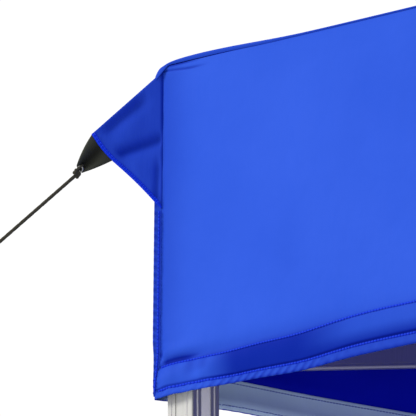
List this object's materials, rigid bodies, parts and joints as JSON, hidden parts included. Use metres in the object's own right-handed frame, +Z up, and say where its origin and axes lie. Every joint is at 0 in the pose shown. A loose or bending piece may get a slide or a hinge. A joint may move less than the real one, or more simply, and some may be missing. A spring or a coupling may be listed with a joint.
{
  "type": "pop up gazebo",
  "caption": "Square pop-up gazebo: folding scissor-bar frame with telescopic legs under a peaked fabric canopy with hanging valances, corner ears and guy ropes.",
  "frame": {"origin": "on the ground, under the canopy's peak", "axes": "+Z up, X and Y along the canopy's sides, -Y is the front"},
  "size_m": [3.2924, 3.2924, 2.74],
  "materials": {
    "canopy_fabric": "woven polyester with a coated navy reverse",
    "guy_rope": "black braided cord",
    "truss_bar": "satin extruded",
    "leg_tube": "satin extruded, grooved",
    "inner_leg_tube": "satin extruded, grooved",
    "mast_tube": "satin tube",
    "connector_plastic": "moulded glass-filled nylon",
    "slider_plastic": "moulded glass-filled nylon",
    "lock_pin": "moulded knob"
  },
  "bodies": {
    "top": {"top_hub": "connector_plastic", "canopy": "canopy_fabric"},
    "front_centre_falling_bar": {"front_centre_falling_bar": "truss_bar"},
    "front_centre_rising_bar": {"front_centre_rising_bar": "truss_bar"},
    "front_top_connector": {"front_top_connector": "connector_plastic"},
    "front_bottom_connector": {"front_bottom_connector": "connector_plastic"},
    "bottom_hub": {"bottom_hub": "connector_plastic"},
    "front_left_falling_bar": {"front_left_falling_bar": "truss_bar"},
    "front_left_rising_bar": {"front_left_rising_bar": "truss_bar"},
    "front_right_falling_bar": {"front_right_falling_bar": "truss_bar"},
    "front_right_rising_bar": {"front_right_rising_bar": "truss_bar"},
    "front_left_outer_leg": {"front_left_outer_leg": "leg_tube", "front_left_guy_rope": "guy_rope"},
    "front_left_slider": {"front_left_slider": "slider_plastic"},
    "right_centre_falling_bar": {"right_centre_falling_bar": "truss_bar"},
    "right_centre_rising_bar": {"right_centre_rising_bar": "truss_bar"},
    "right_top_connector": {"right_top_connector": "connector_plastic"},
    "right_bottom_connector": {"right_bottom_connector": "connector_plastic"},
    "right_front_falling_bar": {"right_front_falling_bar": "truss_bar"},
    "right_front_rising_bar": {"right_front_rising_bar": "truss_bar"},
    "right_back_falling_bar": {"right_back_falling_bar": "truss_bar"},
    "right_back_rising_bar": {"right_back_rising_bar": "truss_bar"},
    "front_right_outer_leg": {"front_right_outer_leg": "leg_tube", "front_right_guy_rope": "guy_rope"},
    "front_right_slider": {"front_right_slider": "slider_plastic"},
    "back_centre_falling_bar": {"back_centre_falling_bar": "truss_bar"},
    "back_centre_rising_bar": {"back_centre_rising_bar": "truss_bar"},
    "back_top_connector": {"back_top_connector": "connector_plastic"},
    "back_bottom_connector": {"back_bottom_connector": "connector_plastic"},
    "back_right_falling_bar": {"back_right_falling_bar": "truss_bar"},
    "back_right_rising_bar": {"back_right_rising_bar": "truss_bar"},
    "back_left_falling_bar": {"back_left_falling_bar": "truss_bar"},
    "back_left_rising_bar": {"back_left_rising_bar": "truss_bar"},
    "back_right_outer_leg": {"back_right_outer_leg": "leg_tube", "back_right_guy_rope": "guy_rope"},
    "back_right_slider": {"back_right_slider": "slider_plastic"},
    "left_centre_falling_bar": {"left_centre_falling_bar": "truss_bar"},
    "left_centre_rising_bar": {"left_centre_rising_bar": "truss_bar"},
    "left_top_connector": {"left_top_connector": "connector_plastic"},
    "left_bottom_connector": {"left_bottom_connector": "connector_plastic"},
    "left_back_falling_bar": {"left_back_falling_bar": "truss_bar"},
    "left_back_rising_bar": {"left_back_rising_bar": "truss_bar"},
    "left_front_falling_bar": {"left_front_falling_bar": "truss_bar"},
    "left_front_rising_bar": {"left_front_rising_bar": "truss_bar"},
    "back_left_outer_leg": {"back_left_outer_leg": "leg_tube", "back_left_guy_rope": "guy_rope"},
    "back_left_slider": {"back_left_slider": "slider_plastic"},
    "mast": {"mast": "mast_tube"},
    "front_left_inner_leg": {"front_left_inner_leg": "inner_leg_tube"},
    "front_right_inner_leg": {"front_right_inner_leg": "inner_leg_tube"},
    "back_right_inner_leg": {"back_right_inner_leg": "inner_leg_tube"},
    "back_left_inner_leg": {"back_left_inner_leg": "inner_leg_tube"},
    "front_left_slider_pin": {"front_left_slider_pin": "lock_pin"},
    "front_left_leg_pin": {"front_left_leg_pin": "lock_pin"},
    "front_right_slider_pin": {"front_right_slider_pin": "lock_pin"},
    "front_right_leg_pin": {"front_right_leg_pin": "lock_pin"},
    "back_right_slider_pin": {"back_right_slider_pin": "lock_pin"},
    "back_right_leg_pin": {"back_right_leg_pin": "lock_pin"},
    "back_left_slider_pin": {"back_left_slider_pin": "lock_pin"},
    "back_left_leg_pin": {"back_left_leg_pin": "lock_pin"}
  },
  "joints": [
    {"name": "fold", "type": "hinge", "parent": "top", "child": "front_centre_falling_bar", "pos_m": [0, -0.036, 2.065], "axis": [1, 0, 0], "range_deg": [0, 78.3], "deforming": ["canopy"]},
    {"name": "front_centre_middle_pivot", "type": "hinge", "parent": "front_centre_falling_bar", "child": "front_centre_rising_bar", "pos_m": [0, -0.745, 1.9565], "axis": [1, 0, 0], "range_deg": [-156.6, 0]},
    {"name": "front_top_connector_pivot", "type": "hinge", "parent": "front_centre_rising_bar", "child": "front_top_connector", "pos_m": [0, -1.454, 2.065], "axis": [1, 0, 0], "range_deg": [0, 78.3]},
    {"name": "front_bottom_connector_pivot", "type": "hinge", "parent": "front_centre_falling_bar", "child": "front_bottom_connector", "pos_m": [0, -1.454, 1.848], "axis": [1, 0, 0], "range_deg": [-78.3, 0]},
    {"name": "bottom_hub_pivot", "type": "hinge", "parent": "front_centre_rising_bar", "child": "bottom_hub", "pos_m": [0, -0.036, 1.848], "axis": [1, 0, 0], "range_deg": [0, 78.3]},
    {"name": "front_left_falling_pivot", "type": "hinge", "parent": "front_top_connector", "child": "front_left_falling_bar", "pos_m": [-0.026, -1.48, 2.065], "axis": [0, -1, 0], "range_deg": [0, 78.3]},
    {"name": "front_left_middle_pivot", "type": "hinge", "parent": "front_left_falling_bar", "child": "front_left_rising_bar", "pos_m": [-0.735, -1.48, 1.9565], "axis": [0, -1, 0], "range_deg": [-156.6, 0]},
    {"name": "front_right_falling_pivot", "type": "hinge", "parent": "front_top_connector", "child": "front_right_falling_bar", "pos_m": [0.026, -1.48, 2.065], "axis": [0, 1, 0], "range_deg": [0, 78.3]},
    {"name": "front_right_middle_pivot", "type": "hinge", "parent": "front_right_falling_bar", "child": "front_right_rising_bar", "pos_m": [0.735, -1.48, 1.9565], "axis": [0, 1, 0], "range_deg": [-156.6, 0]},
    {"name": "front_left_leg_pivot", "type": "hinge", "parent": "front_left_rising_bar", "child": "front_left_outer_leg", "pos_m": [-1.444, -1.48, 2.065], "axis": [0, -1, 0], "range_deg": [0, 78.3]},
    {"name": "front_left_slider_pivot", "type": "hinge", "parent": "front_left_falling_bar", "child": "front_left_slider", "pos_m": [-1.444, -1.48, 1.848], "axis": [0, -1, 0], "range_deg": [-78.3, 0]},
    {"name": "right_centre_falling_pivot", "type": "hinge", "parent": "top", "child": "right_centre_falling_bar", "pos_m": [0.036, 0, 2.065], "axis": [0, 1, 0], "range_deg": [0, 78.3]},
    {"name": "right_centre_middle_pivot", "type": "hinge", "parent": "right_centre_falling_bar", "child": "right_centre_rising_bar", "pos_m": [0.745, 0, 1.9565], "axis": [0, 1, 0], "range_deg": [-156.6, 0]},
    {"name": "right_top_connector_pivot", "type": "hinge", "parent": "right_centre_rising_bar", "child": "right_top_connector", "pos_m": [1.454, 0, 2.065], "axis": [0, 1, 0], "range_deg": [0, 78.3]},
    {"name": "right_bottom_connector_pivot", "type": "hinge", "parent": "right_centre_falling_bar", "child": "right_bottom_connector", "pos_m": [1.454, 0, 1.848], "axis": [0, 1, 0], "range_deg": [-78.3, 0]},
    {"name": "right_front_falling_pivot", "type": "hinge", "parent": "right_top_connector", "child": "right_front_falling_bar", "pos_m": [1.48, -0.026, 2.065], "axis": [1, 0, 0], "range_deg": [0, 78.3]},
    {"name": "right_front_middle_pivot", "type": "hinge", "parent": "right_front_falling_bar", "child": "right_front_rising_bar", "pos_m": [1.48, -0.735, 1.9565], "axis": [1, 0, 0], "range_deg": [-156.6, 0]},
    {"name": "right_back_falling_pivot", "type": "hinge", "parent": "right_top_connector", "child": "right_back_falling_bar", "pos_m": [1.48, 0.026, 2.065], "axis": [-1, 0, 0], "range_deg": [0, 78.3]},
    {"name": "right_back_middle_pivot", "type": "hinge", "parent": "right_back_falling_bar", "child": "right_back_rising_bar", "pos_m": [1.48, 0.735, 1.9565], "axis": [-1, 0, 0], "range_deg": [-156.6, 0]},
    {"name": "front_right_leg_pivot", "type": "hinge", "parent": "right_front_rising_bar", "child": "front_right_outer_leg", "pos_m": [1.48, -1.444, 2.065], "axis": [1, 0, 0], "range_deg": [0, 78.3]},
    {"name": "front_right_slider_pivot", "type": "hinge", "parent": "right_front_falling_bar", "child": "front_right_slider", "pos_m": [1.48, -1.444, 1.848], "axis": [1, 0, 0], "range_deg": [-78.3, 0]},
    {"name": "back_centre_falling_pivot", "type": "hinge", "parent": "top", "child": "back_centre_falling_bar", "pos_m": [0, 0.036, 2.065], "axis": [-1, 0, 0], "range_deg": [0, 78.3]},
    {"name": "back_centre_middle_pivot", "type": "hinge", "parent": "back_centre_falling_bar", "child": "back_centre_rising_bar", "pos_m": [0, 0.745, 1.9565], "axis": [-1, 0, 0], "range_deg": [-156.6, 0]},
    {"name": "back_top_connector_pivot", "type": "hinge", "parent": "back_centre_rising_bar", "child": "back_top_connector", "pos_m": [0, 1.454, 2.065], "axis": [-1, 0, 0], "range_deg": [0, 78.3]},
    {"name": "back_bottom_connector_pivot", "type": "hinge", "parent": "back_centre_falling_bar", "child": "back_bottom_connector", "pos_m": [0, 1.454, 1.848], "axis": [-1, 0, 0], "range_deg": [-78.3, 0]},
    {"name": "back_right_falling_pivot", "type": "hinge", "parent": "back_top_connector", "child": "back_right_falling_bar", "pos_m": [0.026, 1.48, 2.065], "axis": [0, 1, 0], "range_deg": [0, 78.3]},
    {"name": "back_right_middle_pivot", "type": "hinge", "parent": "back_right_falling_bar", "child": "back_right_rising_bar", "pos_m": [0.735, 1.48, 1.9565], "axis": [0, 1, 0], "range_deg": [-156.6, 0]},
    {"name": "back_left_falling_pivot", "type": "hinge", "parent": "back_top_connector", "child": "back_left_falling_bar", "pos_m": [-0.026, 1.48, 2.065], "axis": [0, -1, 0], "range_deg": [0, 78.3]},
    {"name": "back_left_middle_pivot", "type": "hinge", "parent": "back_left_falling_bar", "child": "back_left_rising_bar", "pos_m": [-0.735, 1.48, 1.9565], "axis": [0, -1, 0], "range_deg": [-156.6, 0]},
    {"name": "back_right_leg_pivot", "type": "hinge", "parent": "back_right_rising_bar", "child": "back_right_outer_leg", "pos_m": [1.444, 1.48, 2.065], "axis": [0, 1, 0], "range_deg": [0, 78.3]},
    {"name": "back_right_slider_pivot", "type": "hinge", "parent": "back_right_falling_bar", "child": "back_right_slider", "pos_m": [1.444, 1.48, 1.848], "axis": [0, 1, 0], "range_deg": [-78.3, 0]},
    {"name": "left_centre_falling_pivot", "type": "hinge", "parent": "top", "child": "left_centre_falling_bar", "pos_m": [-0.036, 0, 2.065], "axis": [0, -1, 0], "range_deg": [0, 78.3]},
    {"name": "left_centre_middle_pivot", "type": "hinge", "parent": "left_centre_falling_bar", "child": "left_centre_rising_bar", "pos_m": [-0.745, 0, 1.9565], "axis": [0, -1, 0], "range_deg": [-156.6, 0]},
    {"name": "left_top_connector_pivot", "type": "hinge", "parent": "left_centre_rising_bar", "child": "left_top_connector", "pos_m": [-1.454, 0, 2.065], "axis": [0, -1, 0], "range_deg": [0, 78.3]},
    {"name": "left_bottom_connector_pivot", "type": "hinge", "parent": "left_centre_falling_bar", "child": "left_bottom_connector", "pos_m": [-1.454, 0, 1.848], "axis": [0, -1, 0], "range_deg": [-78.3, 0]},
    {"name": "left_back_falling_pivot", "type": "hinge", "parent": "left_top_connector", "child": "left_back_falling_bar", "pos_m": [-1.48, 0.026, 2.065], "axis": [-1, 0, 0], "range_deg": [0, 78.3]},
    {"name": "left_back_middle_pivot", "type": "hinge", "parent": "left_back_falling_bar", "child": "left_back_rising_bar", "pos_m": [-1.48, 0.735, 1.9565], "axis": [-1, 0, 0], "range_deg": [-156.6, 0]},
    {"name": "left_front_falling_pivot", "type": "hinge", "parent": "left_top_connector", "child": "left_front_falling_bar", "pos_m": [-1.48, -0.026, 2.065], "axis": [1, 0, 0], "range_deg": [0, 78.3]},
    {"name": "left_front_middle_pivot", "type": "hinge", "parent": "left_front_falling_bar", "child": "left_front_rising_bar", "pos_m": [-1.48, -0.735, 1.9565], "axis": [1, 0, 0], "range_deg": [-156.6, 0]},
    {"name": "back_left_leg_pivot", "type": "hinge", "parent": "left_back_rising_bar", "child": "back_left_outer_leg", "pos_m": [-1.48, 1.444, 2.065], "axis": [-1, 0, 0], "range_deg": [0, 78.3]},
    {"name": "back_left_slider_pivot", "type": "hinge", "parent": "left_back_falling_bar", "child": "back_left_slider", "pos_m": [-1.48, 1.444, 1.848], "axis": [-1, 0, 0], "range_deg": [-78.3, 0]},
    {"name": "mast_slide", "type": "slide", "parent": "top", "child": "mast", "axis": [0, 0, -1], "range_m": [0, 0.6]},
    {"name": "front_left_leg_height", "type": "slide", "parent": "front_left_outer_leg", "child": "front_left_inner_leg", "axis": [0, 0, 1], "range_m": [0, 0.42]},
    {"name": "front_right_leg_height", "type": "slide", "parent": "front_right_outer_leg", "child": "front_right_inner_leg", "axis": [0, 0, 1], "range_m": [0, 0.42]},
    {"name": "back_right_leg_height", "type": "slide", "parent": "back_right_outer_leg", "child": "back_right_inner_leg", "axis": [0, 0, 1], "range_m": [0, 0.42]},
    {"name": "back_left_leg_height", "type": "slide", "parent": "back_left_outer_leg", "child": "back_left_inner_leg", "axis": [0, 0, 1], "range_m": [0, 0.42]},
    {"name": "front_left_slider_pin_pull", "type": "slide", "parent": "front_left_slider", "child": "front_left_slider_pin", "axis": [1, 0, 0], "range_m": [-0.003, 0.008], "stiffness_N_per_m": 300},
    {"name": "front_left_leg_pin_pull", "type": "slide", "parent": "front_left_outer_leg", "child": "front_left_leg_pin", "axis": [1, 0, 0], "range_m": [-0.003, 0.008], "stiffness_N_per_m": 300},
    {"name": "front_right_slider_pin_pull", "type": "slide", "parent": "front_right_slider", "child": "front_right_slider_pin", "axis": [0, 1, 0], "range_m": [-0.003, 0.008], "stiffness_N_per_m": 300},
    {"name": "front_right_leg_pin_pull", "type": "slide", "parent": "front_right_outer_leg", "child": "front_right_leg_pin", "axis": [0, 1, 0], "range_m": [-0.003, 0.008], "stiffness_N_per_m": 300},
    {"name": "back_right_slider_pin_pull", "type": "slide", "parent": "back_right_slider", "child": "back_right_slider_pin", "axis": [-1, 0, 0], "range_m": [-0.003, 0.008], "stiffness_N_per_m": 300},
    {"name": "back_right_leg_pin_pull", "type": "slide", "parent": "back_right_outer_leg", "child": "back_right_leg_pin", "axis": [-1, 0, 0], "range_m": [-0.003, 0.008], "stiffness_N_per_m": 300},
    {"name": "back_left_slider_pin_pull", "type": "slide", "parent": "back_left_slider", "child": "back_left_slider_pin", "axis": [0, -1, 0], "range_m": [-0.003, 0.008], "stiffness_N_per_m": 300},
    {"name": "back_left_leg_pin_pull", "type": "slide", "parent": "back_left_outer_leg", "child": "back_left_leg_pin", "axis": [0, -1, 0], "range_m": [-0.003, 0.008], "stiffness_N_per_m": 300}
  ],
  "couplings": [
    {"joint": "front_centre_middle_pivot", "follows": "fold", "ratio": -2},
    {"joint": "front_top_connector_pivot", "follows": "fold", "ratio": 1},
    {"joint": "front_bottom_connector_pivot", "follows": "fold", "ratio": -1},
    {"joint": "bottom_hub_pivot", "follows": "fold", "ratio": 1},
    {"joint": "front_left_falling_pivot", "follows": "fold", "ratio": 1},
    {"joint": "front_left_middle_pivot", "follows": "fold", "ratio": -2},
    {"joint": "front_right_falling_pivot", "follows": "fold", "ratio": 1},
    {"joint": "front_right_middle_pivot", "follows": "fold", "ratio": -2},
    {"joint": "front_left_leg_pivot", "follows": "fold", "ratio": 1},
    {"joint": "front_left_slider_pivot", "follows": "fold", "ratio": -1},
    {"joint": "right_centre_falling_pivot", "follows": "fold", "ratio": 1},
    {"joint": "right_centre_middle_pivot", "follows": "fold", "ratio": -2},
    {"joint": "right_top_connector_pivot", "follows": "fold", "ratio": 1},
    {"joint": "right_bottom_connector_pivot", "follows": "fold", "ratio": -1},
    {"joint": "right_front_falling_pivot", "follows": "fold", "ratio": 1},
    {"joint": "right_front_middle_pivot", "follows": "fold", "ratio": -2},
    {"joint": "right_back_falling_pivot", "follows": "fold", "ratio": 1},
    {"joint": "right_back_middle_pivot", "follows": "fold", "ratio": -2},
    {"joint": "front_right_leg_pivot", "follows": "fold", "ratio": 1},
    {"joint": "front_right_slider_pivot", "follows": "fold", "ratio": -1},
    {"joint": "back_centre_falling_pivot", "follows": "fold", "ratio": 1},
    {"joint": "back_centre_middle_pivot", "follows": "fold", "ratio": -2},
    {"joint": "back_top_connector_pivot", "follows": "fold", "ratio": 1},
    {"joint": "back_bottom_connector_pivot", "follows": "fold", "ratio": -1},
    {"joint": "back_right_falling_pivot", "follows": "fold", "ratio": 1},
    {"joint": "back_right_middle_pivot", "follows": "fold", "ratio": -2},
    {"joint": "back_left_falling_pivot", "follows": "fold", "ratio": 1},
    {"joint": "back_left_middle_pivot", "follows": "fold", "ratio": -2},
    {"joint": "back_right_leg_pivot", "follows": "fold", "ratio": 1},
    {"joint": "back_right_slider_pivot", "follows": "fold", "ratio": -1},
    {"joint": "left_centre_falling_pivot", "follows": "fold", "ratio": 1},
    {"joint": "left_centre_middle_pivot", "follows": "fold", "ratio": -2},
    {"joint": "left_top_connector_pivot", "follows": "fold", "ratio": 1},
    {"joint": "left_bottom_connector_pivot", "follows": "fold", "ratio": -1},
    {"joint": "left_back_falling_pivot", "follows": "fold", "ratio": 1},
    {"joint": "left_back_middle_pivot", "follows": "fold", "ratio": -2},
    {"joint": "left_front_falling_pivot", "follows": "fold", "ratio": 1},
    {"joint": "left_front_middle_pivot", "follows": "fold", "ratio": -2},
    {"joint": "back_left_leg_pivot", "follows": "fold", "ratio": 1},
    {"joint": "back_left_slider_pivot", "follows": "fold", "ratio": -1},
    {"joint": "mast_slide", "follows": "fold", "m_per_rad": 0.43905}
  ]
}
